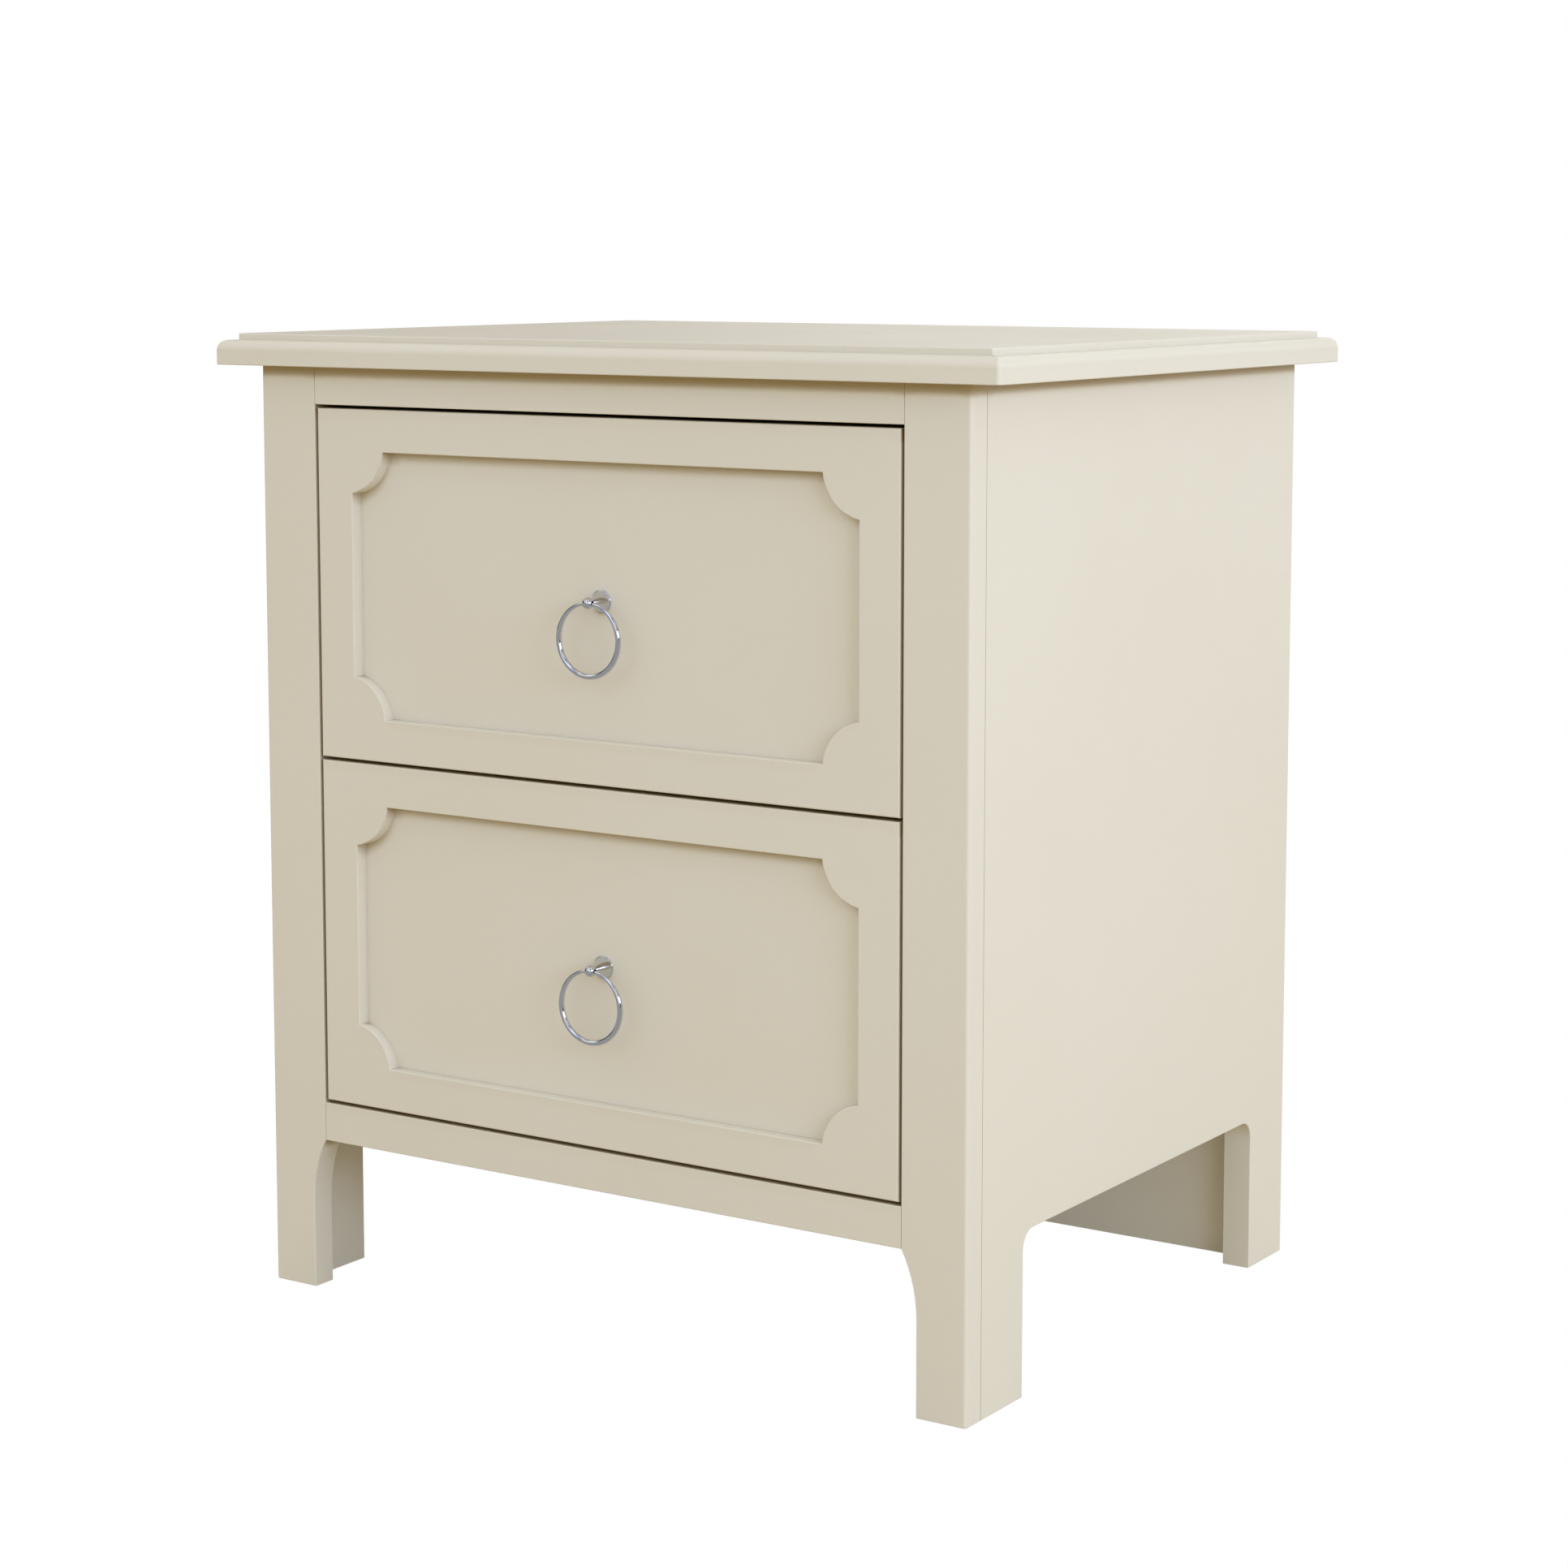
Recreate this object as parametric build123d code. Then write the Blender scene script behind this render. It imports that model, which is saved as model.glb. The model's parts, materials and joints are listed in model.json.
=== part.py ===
"""Nightstand with two drawers, built as separate boards, slides, fasteners and ring pulls.

Millimetres. +X points to the right and +Y to the back, as seen by someone who stands in front, and
+Z points up. The origin is on the floor, under the middle of the top board.
"""

from build123d import *
import os

# Overall size
TOP_WIDTH = 550.0
TOP_DEPTH = 425.0
TOP_THICK = 19.0
HEIGHT = 590.5
SIDE_OVERHANG = 25.0
FRONT_OVERHANG = 14.0
REAR_OVERHANG = 11.0

# Moulded edge of the top: a quarter round below, a flat ledge, then a small step up
TOP_STEP = 4.0
TOP_ROUND = 6.4
TOP_LEDGE = 3.7
TOP_EASE = 0.8

# Cabinet boards
SIDE_THICK = 18.0
FRAME_THICK = 16.0
BACK_THICK = 12.0
BACK_RECESS = 20.0
BACK_FLOOR_GAP = 2.0
BASE_THICK = 12.0
BASE_UNDERSIDE = 100.0
STRETCHER_THICK = 18.0
STRETCHER_WIDTH = 60.0
BOARD_EASE = 0.6

# Front frame
STILE_WIDTH = 42.0
FOOT_WIDTH = 32.0
FOOT_CURVE_START = 55.0
RAIL_UNDERSIDE = 94.5
BOTTOM_RAIL_TALL = 24.0
TOP_RAIL_TALL = 23.0
STILE_CORNER_ROUND = 2.0

# Shadow line cut into each side panel where it meets the stile
SEAM_WIDE = 0.4
SEAM_DEEP = 2.0

# Opening between the front and rear feet of each side panel
SIDE_ARCH_TOP = 95.7
SIDE_ARCH_ROUND = 11.5
SIDE_FRONT_FOOT = 46.6
SIDE_REAR_FOOT = 46.5

# Drawer fronts, flush with the frame, with an even gap all round and a notched recess
GAP = 2.0
FRONT_EASE = 1.0
RECESS_DEEP = 8.0
RECESS_MARGIN_SIDE = 26.5
RECESS_MARGIN_END = 25.5
NOTCH_RADIUS = 28.2
NOTCH_OUT_X = 4.4
NOTCH_OUT_Z = 2.7
RECESS_EASE = 0.7

# Drawer boxes
BOX_DEPTH = 300.0
BOX_TALL = 160.0
BOX_RAISE = 22.0
BOX_BOARD = 12.0
BOX_EASE = 0.8
SHEET_THICK = 4.0
SHEET_RAISE = 10.0
GROOVE_DEEP = 6.0

# Three-part ball bearing slides; "near" and "far" are depths counted from the cabinet side
SLIDE_LENGTH = 250.0
SLIDE_THICK = 12.7
SLIDE_SETBACK = 4.0
CABINET_CHANNEL = {"tall": 45.0, "sheet": 1.2, "near": 0.0, "far": 9.5, "web": "near"}
MIDDLE_CHANNEL = {"tall": 34.6, "sheet": 1.1, "near": 1.9, "far": 11.0, "web": "near"}
DRAWER_CHANNEL = {"tall": 24.6, "sheet": 1.0, "near": 4.2, "far": SLIDE_THICK, "web": "far"}
SPACER_TALL = 50.0

# Ball cages: a strip folded round the channel that holds one row of balls above and one below
CAGE_LENGTH = 110.0
CAGE_SETBACK = 65.0
CAGE_SHEET = 0.5
OUTER_CAGE = {"row": 19.3, "near": 1.3, "far": 8.8, "ball": 1.95, "ball_at": 6.0}
INNER_CAGE = {"row": 14.25, "near": 3.4, "far": 10.6, "ball": 1.9, "ball_at": 8.0}
BALLS_IN_ROW = 6
BALL_PLAY = 0.05

# Ring pulls: a coned base on the recess floor, a neck, and a bored ball that the ring swings in
PULL_BASE_RADIUS = 6.8
PULL_BASE_RIM = 0.8
PULL_NECK_RADIUS = 1.8
PULL_CONE_LONG = 8.7
PULL_REACH = 13.0
BALL_RADIUS = 3.5
RING_RADIUS = 20.9
WIRE_RADIUS = 1.6
RING_BORE_RADIUS = 2.3
RING_DROP = 0.4
PULL_SCREW_GRIP = 5.0

# Fasteners
HOLE_PLAY = 0.05
WOOD_SCREW = {"shank": 2.0, "head": 3.8, "head_tall": 2.2}
SLIDE_SCREW = {"shank": 1.8, "head": 3.3, "head_tall": 1.8}
DRIVE_LONG = 2.8
DRIVE_WIDE = 0.8
DRIVE_DEEP = 1.0
TOP_SCREW_LONG = 30.0
TOP_SCREW_X = (-150.0, 150.0)
BACK_SCREW_LONG = 35.0
BACK_SCREW_X = 120.0
SPACER_SCREW_LONG = 26.0
SPACER_SCREW_SINK = 6.0
SPACER_SCREW_Y = (-165.0, 120.0)
CHANNEL_SCREW_LONG = 14.0
CHANNEL_SCREW_SETBACKS = (35.0, 205.0)
BOX_SCREW_LONG = 10.0
BOX_SCREW_SETBACKS = (60.0, 180.0)
FRONT_SCREW_LONG = 18.0
FRONT_SCREW_X = 140.0
FRONT_SCREW_STEP = 50.0
DOWEL_RADIUS = 4.0
DOWEL_LONG = 30.0
RAIL_DOWEL_STEP = 6.0
PANEL_DOWEL_IN_STILE = 10.0
PANEL_DOWEL_Z = (150.0, 330.0, 500.0)
CAM_RADIUS = 7.5
CAM_OVER_BOLT = 4.0
CAM_SETBACK = 24.0
CAM_SLOT_LONG = 9.0
CAM_SLOT_WIDE = 1.4
CAM_SLOT_DEEP = 2.5
CAM_BOLT_RADIUS = 3.0
CAM_BOLT_IN_SIDE = 11.0
BASE_CAM_Y = (-120.0, 120.0)

# Planes and levels that follow from the sizes above
BODY_HALF = TOP_WIDTH / 2 - SIDE_OVERHANG
BODY_FRONT = -TOP_DEPTH / 2 + FRONT_OVERHANG
BODY_REAR = TOP_DEPTH / 2 - REAR_OVERHANG
FRAME_BACK = BODY_FRONT + FRAME_THICK
SIDE_INSIDE = BODY_HALF - SIDE_THICK
OPENING_HALF = BODY_HALF - STILE_WIDTH
CARCASS_TOP = HEIGHT - TOP_THICK
BACK_REAR = BODY_REAR - BACK_RECESS
BACK_FRONT = BACK_REAR - BACK_THICK
RAIL_TOP = RAIL_UNDERSIDE + BOTTOM_RAIL_TALL
TOP_RAIL_UNDERSIDE = CARCASS_TOP - TOP_RAIL_TALL
STRETCHER_UNDERSIDE = CARCASS_TOP - STRETCHER_THICK
STRETCHER_MIDDLES = (FRAME_BACK + STRETCHER_WIDTH / 2, BACK_FRONT - STRETCHER_WIDTH / 2)
FRONT_HALF = OPENING_HALF - GAP
FRONT_TALL = (TOP_RAIL_UNDERSIDE - RAIL_TOP - 3 * GAP) / 2
BOX_HALF = OPENING_HALF - SLIDE_THICK
BOX_INSIDE_HALF = BOX_HALF - BOX_BOARD
BOX_REAR = FRAME_BACK + BOX_DEPTH
INNER_FRONT_REAR = FRAME_BACK + BOX_BOARD
SLIDE_FRONT = FRAME_BACK + SLIDE_SETBACK
RECESS_FLOOR = BODY_FRONT + RECESS_DEEP
BALL_Y = RECESS_FLOOR - PULL_REACH

# The underside of each drawer front, and the two sides of the cabinet as directions along X
LEVELS = {"lower": RAIL_TOP + GAP, "upper": RAIL_TOP + 2 * GAP + FRONT_TALL}
SIDES = {"left": -1, "right": 1}
FORWARD, BACKWARD, UP = (0, -1, 0), (0, 1, 0), (0, 0, 1)
STARTS_AT_ZERO = (Align.CENTER, Align.CENTER, Align.MIN)
ENDS_AT_ZERO = (Align.CENTER, Align.CENTER, Align.MAX)

parts = {}


# ---------------------------------------------------------------- shared shapes

def block(x, y, z):
    """A box between two values on each axis, given in either order."""
    spans = [sorted(pair) for pair in (x, y, z)]
    middle = [(low + high) / 2 for low, high in spans]
    return Pos(*middle) * Box(*[high - low for low, high in spans])


def peg(at, towards, radius, length):
    """A round peg that starts at a point and runs in a direction."""
    return Plane(origin=at, z_dir=towards) * Cylinder(radius, length, align=STARTS_AT_ZERO)


def pegs(places, radius):
    """One node of separate pegs, one for each (point, direction, length)."""
    return group([peg(at, towards, radius, length) for at, towards, length in places])


def drilled(shape, places, radius):
    """The shape with a bore along each (point, direction, length) that reaches it."""
    for at, towards, length in places:
        bore = peg(at, towards, radius + HOLE_PLAY, length)
        if shape.bounding_box().overlaps(bore.bounding_box()):
            shape = shape - bore
    return shape


def cut_all(shape, tools):
    """The shape with every one of the tool solids taken away."""
    for tool in tools:
        shape = shape - tool
    return shape


def screws(places, size):
    """One node of screws whose domed heads rest at the points and carry a cross drive."""
    head = Cylinder(size["head"], size["head_tall"], align=ENDS_AT_ZERO)
    head = fillet(head.edges().sort_by(Axis.Z)[0], size["head_tall"] / 2)
    drive = Box(DRIVE_LONG, DRIVE_WIDE, 2 * DRIVE_DEEP) + Box(DRIVE_WIDE, DRIVE_LONG, 2 * DRIVE_DEEP)
    head -= Pos(0, 0, -size["head_tall"]) * drive
    made = []
    for at, towards, length in places:
        shank = Cylinder(size["shank"], length, align=STARTS_AT_ZERO)
        made.append(Plane(origin=at, z_dir=towards) * (head + shank))
    return group(made)


def group(pieces):
    """Separate identical pieces that share one node."""
    return Compound(children=[piece.solid() for piece in pieces])


def other_side(shape):
    """The same piece for the left of the cabinet."""
    return mirror(shape, about=Plane.YZ)


def face_at_front(shape):
    return shape.faces().sort_by(Axis.Y)[0]


# ---------------------------------------------------------------- where the fasteners go

def slide_middle(level):
    """Height of the middle of the slides that carry one drawer."""
    return LEVELS[level] + BOX_RAISE + BOX_TALL / 2


FRAME_MIDDLE = (BODY_FRONT + FRAME_BACK) / 2
BASE_MIDDLE = BASE_UNDERSIDE + BASE_THICK / 2
STRETCHER_MIDDLE = STRETCHER_UNDERSIDE + STRETCHER_THICK / 2
RAIL_MIDDLES = ((RAIL_UNDERSIDE + RAIL_TOP) / 2, (TOP_RAIL_UNDERSIDE + CARCASS_TOP) / 2)
SPACER_MIDDLE = (OPENING_HALF + SIDE_INSIDE) / 2
SPACER_SCREW_SEAT = OPENING_HALF + SPACER_SCREW_SINK

TOP_SCREWS = [
    ((x, y, STRETCHER_UNDERSIDE), UP, TOP_SCREW_LONG)
    for x in TOP_SCREW_X
    for y in STRETCHER_MIDDLES
]
DOWELS = [
    ((side * (OPENING_HALF - DOWEL_LONG / 2), FRAME_MIDDLE, z + step), (side, 0, 0), DOWEL_LONG)
    for side in SIDES.values()
    for z in RAIL_MIDDLES
    for step in (-RAIL_DOWEL_STEP, RAIL_DOWEL_STEP)
]
DOWELS += [
    ((side * (BODY_HALF - SIDE_THICK / 2), FRAME_BACK - PANEL_DOWEL_IN_STILE, z), BACKWARD, DOWEL_LONG)
    for side in SIDES.values()
    for z in PANEL_DOWEL_Z
]
SPACER_SCREWS = [
    ((side * SPACER_SCREW_SEAT, y, slide_middle(level)), (side, 0, 0), SPACER_SCREW_LONG)
    for side in SIDES.values()
    for level in LEVELS
    for y in SPACER_SCREW_Y
]
BACK_SCREW_SPOTS = [(x, z) for x in (-BACK_SCREW_X, BACK_SCREW_X) for z in (BASE_MIDDLE, STRETCHER_MIDDLE)]
BACK_SCREW_SPOTS += [(x, slide_middle(level)) for x in (-SPACER_MIDDLE, SPACER_MIDDLE) for level in LEVELS]
BACK_SCREWS = [((x, BACK_REAR, z), FORWARD, BACK_SCREW_LONG) for x, z in BACK_SCREW_SPOTS]

# Cams lie under the bottom panel and the stretchers; each bolt runs out from its cam into the side
CAM_SPOTS = [(y, BASE_UNDERSIDE, BASE_MIDDLE) for y in BASE_CAM_Y]
CAM_SPOTS += [(y, STRETCHER_UNDERSIDE, STRETCHER_MIDDLE) for y in STRETCHER_MIDDLES]
CAM_X = SIDE_INSIDE - CAM_SETBACK
CAM_BOLT_START = CAM_X + CAM_RADIUS + HOLE_PLAY
CAM_BOLT_END = SIDE_INSIDE + CAM_BOLT_IN_SIDE
CAMS = [
    ((side * CAM_X, y, low), UP, middle + CAM_OVER_BOLT - low)
    for side in SIDES.values()
    for y, low, middle in CAM_SPOTS
]


def cam_bolt_runs(start):
    """Every cam bolt's run from a distance off the middle of the cabinet to its end in the side."""
    return [
        ((side * start, y, middle), (side, 0, 0), CAM_BOLT_END - start)
        for side in SIDES.values()
        for y, _, middle in CAM_SPOTS
    ]


# ---------------------------------------------------------------- top board

def top_board():
    """The slab with a moulding on all four sides: quarter round, ledge and raised field."""
    half_x, half_y = TOP_WIDTH / 2, TOP_DEPTH / 2
    slab = block((-half_x, half_x), (-half_y, half_y), (CARCASS_TOP, HEIGHT - TOP_STEP))
    slab = fillet(slab.edges().group_by(Axis.Z)[-1], TOP_ROUND)
    inset = TOP_ROUND + TOP_LEDGE
    half_x, half_y = half_x - inset, half_y - inset
    field = block((-half_x, half_x), (-half_y, half_y), (CARCASS_TOP + TOP_STEP, HEIGHT))
    field = fillet(field.edges().group_by(Axis.Z)[-1], TOP_EASE)
    top = slab + field
    top = chamfer(top.edges().group_by(Axis.Z)[0], TOP_EASE / 2)
    return drilled(top, TOP_SCREWS, WOOD_SCREW["shank"])


parts["top_board"] = top_board()
parts["top_screws"] = screws(TOP_SCREWS, WOOD_SCREW)


# ---------------------------------------------------------------- front frame

def right_stile():
    """Upright of the front frame; below the rail its inner edge curves out to a narrower foot."""
    inner, foot = BODY_HALF - STILE_WIDTH, BODY_HALF - FOOT_WIDTH
    inside = [(foot, FOOT_CURVE_START), (foot, 0)]
    outside = [(BODY_HALF, 0), (BODY_HALF, CARCASS_TOP)]
    straight = Polyline(*inside, *outside, (inner, CARCASS_TOP), (inner, RAIL_UNDERSIDE))
    curve = TangentArc((foot, FOOT_CURVE_START), (inner, RAIL_UNDERSIDE), tangent=(0, 1))
    outline = make_face(Curve() + [straight, curve])
    stile = Pos(0, FRAME_BACK, 0) * (Plane.XZ * extrude(outline, FRAME_THICK))
    corner = stile.edges().filter_by(Axis.Z).group_by(Axis.X)[-1].sort_by(Axis.Y)[0]
    stile = fillet(corner, STILE_CORNER_ROUND)
    stile = fillet(face_at_front(stile).edges(), BOARD_EASE)
    return drilled(stile, DOWELS, DOWEL_RADIUS)


def rail(low, high):
    """A cross piece of the front frame, with dowel bores in its ends."""
    piece = block((-OPENING_HALF, OPENING_HALF), (BODY_FRONT, FRAME_BACK), (low, high))
    piece = fillet(face_at_front(piece).edges(), BOARD_EASE)
    return drilled(piece, DOWELS, DOWEL_RADIUS)


parts["right_front_stile"] = right_stile()
parts["left_front_stile"] = other_side(parts["right_front_stile"])
parts["bottom_rail"] = rail(RAIL_UNDERSIDE, RAIL_TOP)
parts["top_rail"] = rail(TOP_RAIL_UNDERSIDE, CARCASS_TOP)
parts["dowels"] = pegs(DOWELS, DOWEL_RADIUS)


# ---------------------------------------------------------------- carcass panels

def right_side_panel():
    """Side board, cut out below to leave a front and a rear foot."""
    panel = block((SIDE_INSIDE, BODY_HALF), (FRAME_BACK, BODY_REAR), (0, CARCASS_TOP))
    arch_y = (FRAME_BACK + SIDE_FRONT_FOOT, BODY_REAR - SIDE_REAR_FOOT)
    arch = block((SIDE_INSIDE - 1, BODY_HALF + 1), arch_y, (-SIDE_ARCH_TOP, SIDE_ARCH_TOP))
    arch = fillet(arch.edges().filter_by(Axis.X).group_by(Axis.Z)[-1], SIDE_ARCH_ROUND)
    panel -= arch
    outside_edges = panel.faces().sort_by(Axis.X)[-1].edges()
    seam_edge = outside_edges.sort_by(Axis.Y)[0]
    panel = fillet([edge for edge in outside_edges if edge is not seam_edge], BOARD_EASE)
    seam_x, seam_y = (BODY_HALF - SEAM_DEEP, BODY_HALF), (FRAME_BACK, FRAME_BACK + SEAM_WIDE)
    panel -= block(seam_x, seam_y, (0, CARCASS_TOP))
    panel = drilled(panel, DOWELS, DOWEL_RADIUS)
    panel = drilled(panel, cam_bolt_runs(CAM_X), CAM_BOLT_RADIUS)
    return drilled(panel, SPACER_SCREWS, WOOD_SCREW["shank"])


def cross_panel(y, z):
    """A board that spans the inside of the cabinet and is held to the sides by cams."""
    panel = block((-SIDE_INSIDE, SIDE_INSIDE), y, z)
    panel = drilled(panel, CAMS, CAM_RADIUS)
    panel = drilled(panel, cam_bolt_runs(CAM_X), CAM_BOLT_RADIUS)
    return drilled(panel, TOP_SCREWS + BACK_SCREWS, WOOD_SCREW["shank"])


def cams():
    """Round cam housings with a driver slot in the underside."""
    slots = [Pos(*at) * Box(CAM_SLOT_LONG, CAM_SLOT_WIDE, 2 * CAM_SLOT_DEEP) for at, _, _ in CAMS]
    return group([peg(at, UP, CAM_RADIUS, tall) - slot for (at, _, tall), slot in zip(CAMS, slots)])


parts["right_side_panel"] = right_side_panel()
parts["left_side_panel"] = other_side(parts["right_side_panel"])
parts["bottom_panel"] = cross_panel((FRAME_BACK, BACK_FRONT), (BASE_UNDERSIDE, BASE_UNDERSIDE + BASE_THICK))
for name, middle in zip(("front_stretcher", "rear_stretcher"), STRETCHER_MIDDLES):
    edges = (middle - STRETCHER_WIDTH / 2, middle + STRETCHER_WIDTH / 2)
    parts[name] = cross_panel(edges, (STRETCHER_UNDERSIDE, CARCASS_TOP))
parts["cam_housings"] = cams()
parts["cam_bolts"] = pegs(cam_bolt_runs(CAM_BOLT_START), CAM_BOLT_RADIUS)
back_panel = block((-SIDE_INSIDE, SIDE_INSIDE), (BACK_FRONT, BACK_REAR), (BACK_FLOOR_GAP, CARCASS_TOP))
parts["back_panel"] = drilled(back_panel, BACK_SCREWS, WOOD_SCREW["shank"])
parts["back_screws"] = screws(BACK_SCREWS, WOOD_SCREW)
parts["spacer_screws"] = screws(SPACER_SCREWS, WOOD_SCREW)


# ---------------------------------------------------------------- slides

def across(side, depth):
    """The X of a depth into a slide, counted from the cabinet side."""
    return side * (OPENING_HALF - depth)


def channel(side, level, size):
    """One member of a slide: a sheet steel channel with its web towards the cabinet or the drawer."""
    middle, half, sheet = slide_middle(level), size["tall"] / 2, size["sheet"]
    near, far = size["near"], size["far"]
    run = (SLIDE_FRONT, SLIDE_FRONT + SLIDE_LENGTH)
    body = block((across(side, near), across(side, far)), run, (middle - half, middle + half))
    web_x = across(side, size[size["web"]])
    bends = [edge for edge in body.edges().filter_by(Axis.Y) if abs(edge.center().X - web_x) < sheet / 2]
    body = fillet(bends, sheet * 0.8)
    low, high = (near + sheet, far + 1) if size["web"] == "near" else (near - 1, far - sheet)
    inner = half - sheet
    return body - block((across(side, low), across(side, high)), run, (middle - inner, middle + inner))


def flat_heads(side, level, play=0.0):
    """Flat-headed screws that hold a cabinet channel to its spacer, flush with the web."""
    sheet = CABINET_CHANNEL["sheet"]
    made = []
    for setback in CHANNEL_SCREW_SETBACKS:
        at = (across(side, sheet), SLIDE_FRONT + setback, slide_middle(level))
        cone = Cone(SLIDE_SCREW["head"] + play, SLIDE_SCREW["shank"] + play, sheet, align=STARTS_AT_ZERO)
        shank = Cylinder(SLIDE_SCREW["shank"] + play, CHANNEL_SCREW_LONG, align=STARTS_AT_ZERO)
        made.append(Plane(origin=at, z_dir=(side, 0, 0)) * (cone + shank))
    return made


def spacer(side, level):
    """Batten that brings the slide in from the side panel to the edge of the opening."""
    middle, half = slide_middle(level), SPACER_TALL / 2
    x = (side * OPENING_HALF, side * SIDE_INSIDE)
    batten = block(x, (FRAME_BACK, BACK_FRONT), (middle - half, middle + half))
    sinks = [((side * OPENING_HALF, y, middle), (side, 0, 0), SPACER_SCREW_SINK) for y in SPACER_SCREW_Y]
    batten = drilled(batten, sinks, WOOD_SCREW["head"])
    batten = drilled(batten, SPACER_SCREWS + BACK_SCREWS, WOOD_SCREW["shank"])
    return cut_all(batten, flat_heads(side, level, HOLE_PLAY))


def cage(side, level, size):
    """A folded steel strip with a row of round pockets above and below, and the balls in them."""
    middle, row, half = slide_middle(level), size["row"], CAGE_SHEET / 2
    run = (SLIDE_FRONT + CAGE_SETBACK, SLIDE_FRONT + CAGE_SETBACK + CAGE_LENGTH)
    web = (across(side, size["near"]), across(side, size["near"] + CAGE_SHEET))
    strip = block(web, run, (middle - row - half, middle + row + half))
    for z in (middle - row, middle + row):
        strip += block((across(side, size["near"]), across(side, size["far"])), run, (z - half, z + half))
    pitch = CAGE_LENGTH / BALLS_IN_ROW
    spots = [
        (across(side, size["ball_at"]), run[0] + pitch * (n + 0.5), z)
        for n in range(BALLS_IN_ROW)
        for z in (middle - row, middle + row)
    ]
    for x, y, z in spots:
        strip -= Pos(x, y, z) * Cylinder(size["ball"] + BALL_PLAY, 4 * half)
    return [strip] + [Pos(*spot) * Sphere(size["ball"]) for spot in spots]


flat_screws = []
for level in LEVELS:
    cages = {"outer": [], "inner": []}
    for name, side in SIDES.items():
        heads = flat_heads(side, level, HOLE_PLAY)
        parts[f"{level}_{name}_cabinet_channel"] = cut_all(channel(side, level, CABINET_CHANNEL), heads)
        parts[f"{level}_{name}_middle_channel"] = channel(side, level, MIDDLE_CHANNEL)
        parts[f"{level}_{name}_slide_spacer"] = spacer(side, level)
        flat_screws += flat_heads(side, level)
        cages["outer"] += cage(side, level, OUTER_CAGE)
        cages["inner"] += cage(side, level, INNER_CAGE)
    for place, pieces in cages.items():
        parts[f"{level}_{place}_ball_cages"] = group(pieces)
parts["cabinet_channel_screws"] = group(flat_screws)


# ---------------------------------------------------------------- drawers

def drawer_front(level, bores):
    """Front board with a sunk field whose corners are notched by arcs."""
    low = LEVELS[level]
    plain = block((-FRONT_HALF, FRONT_HALF), (BODY_FRONT, FRAME_BACK), (low, low + FRONT_TALL))
    front = fillet(face_at_front(plain).edges(), FRONT_EASE)
    half_x, half_z = FRONT_HALF - RECESS_MARGIN_SIDE, FRONT_TALL / 2 - RECESS_MARGIN_END
    field = Rectangle(2 * half_x, 2 * half_z)
    for x in (-half_x - NOTCH_OUT_X, half_x + NOTCH_OUT_X):
        for z in (-half_z - NOTCH_OUT_Z, half_z + NOTCH_OUT_Z):
            field -= Pos(x, z) * Circle(NOTCH_RADIUS)
    middle = low + FRONT_TALL / 2
    front -= Pos(0, RECESS_FLOOR, middle) * (Plane.XZ * extrude(field, RECESS_DEEP + 1))
    rim = [
        edge
        for edge in face_at_front(front).edges()
        if abs(edge.center().X) <= half_x + 0.1 and abs(edge.center().Z - middle) <= half_z + 0.1
    ]
    return drilled(fillet(rim, RECESS_EASE), bores, WOOD_SCREW["shank"])


def drawer_box(level, box_screws, bores):
    """The boards of one drawer box, which sits behind its front and carries a grooved-in sheet."""
    low = LEVELS[level] + BOX_RAISE
    high = low + BOX_TALL
    sheet_z = (low + SHEET_RAISE, low + SHEET_RAISE + SHEET_THICK)
    reach = BOX_INSIDE_HALF + GROOVE_DEEP
    sheet = block((-reach, reach), (INNER_FRONT_REAR - GROOVE_DEEP, BOX_REAR), sheet_z)
    inside = (-BOX_INSIDE_HALF, BOX_INSIDE_HALF)
    inner_front = block(inside, (FRAME_BACK, INNER_FRONT_REAR), (low, high)) - sheet
    right = block((BOX_INSIDE_HALF, BOX_HALF), (FRAME_BACK, BOX_REAR), (low, high))
    right = fillet(right.edges().filter_by(Axis.Y).group_by(Axis.Z)[-1], BOX_EASE)
    right -= block((0, reach), (FRAME_BACK, BOX_REAR), sheet_z)
    right = drilled(right, box_screws, SLIDE_SCREW["shank"])
    return {
        "inner_front": drilled(inner_front, bores, WOOD_SCREW["shank"]),
        "right_side": right,
        "left_side": other_side(right),
        "back": block(inside, (BOX_REAR - BOX_BOARD, BOX_REAR), (sheet_z[1], high)),
        "bottom_sheet": sheet,
    }


def pull_post(level):
    """Coned base, neck and bored ball, with a hole for the screw in the base."""
    cone_end = PULL_BASE_RIM + PULL_CONE_LONG
    post = Cylinder(PULL_BASE_RADIUS, PULL_BASE_RIM, align=STARTS_AT_ZERO)
    cone = Cone(PULL_BASE_RADIUS, PULL_NECK_RADIUS, PULL_CONE_LONG, align=STARTS_AT_ZERO)
    post += Pos(0, 0, PULL_BASE_RIM) * cone
    post += Pos(0, 0, cone_end) * Cylinder(PULL_NECK_RADIUS, PULL_REACH - cone_end, align=STARTS_AT_ZERO)
    post += Pos(0, 0, PULL_REACH) * Sphere(BALL_RADIUS)
    middle = LEVELS[level] + FRONT_TALL / 2
    post = Plane(origin=(0, RECESS_FLOOR, middle), z_dir=FORWARD) * post
    post -= peg((-BALL_RADIUS - 1, BALL_Y, middle), (1, 0, 0), RING_BORE_RADIUS, 2 * BALL_RADIUS + 2)
    return post - peg((0, RECESS_FLOOR, middle), FORWARD, WOOD_SCREW["shank"] + HOLE_PLAY, PULL_SCREW_GRIP)


def pull_ring(level):
    """A round wire ring that rests in the ball's bore."""
    middle = LEVELS[level] + FRONT_TALL / 2 - RING_DROP - RING_RADIUS
    return Plane(origin=(0, BALL_Y, middle), z_dir=FORWARD) * Torus(RING_RADIUS, WIRE_RADIUS)


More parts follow.
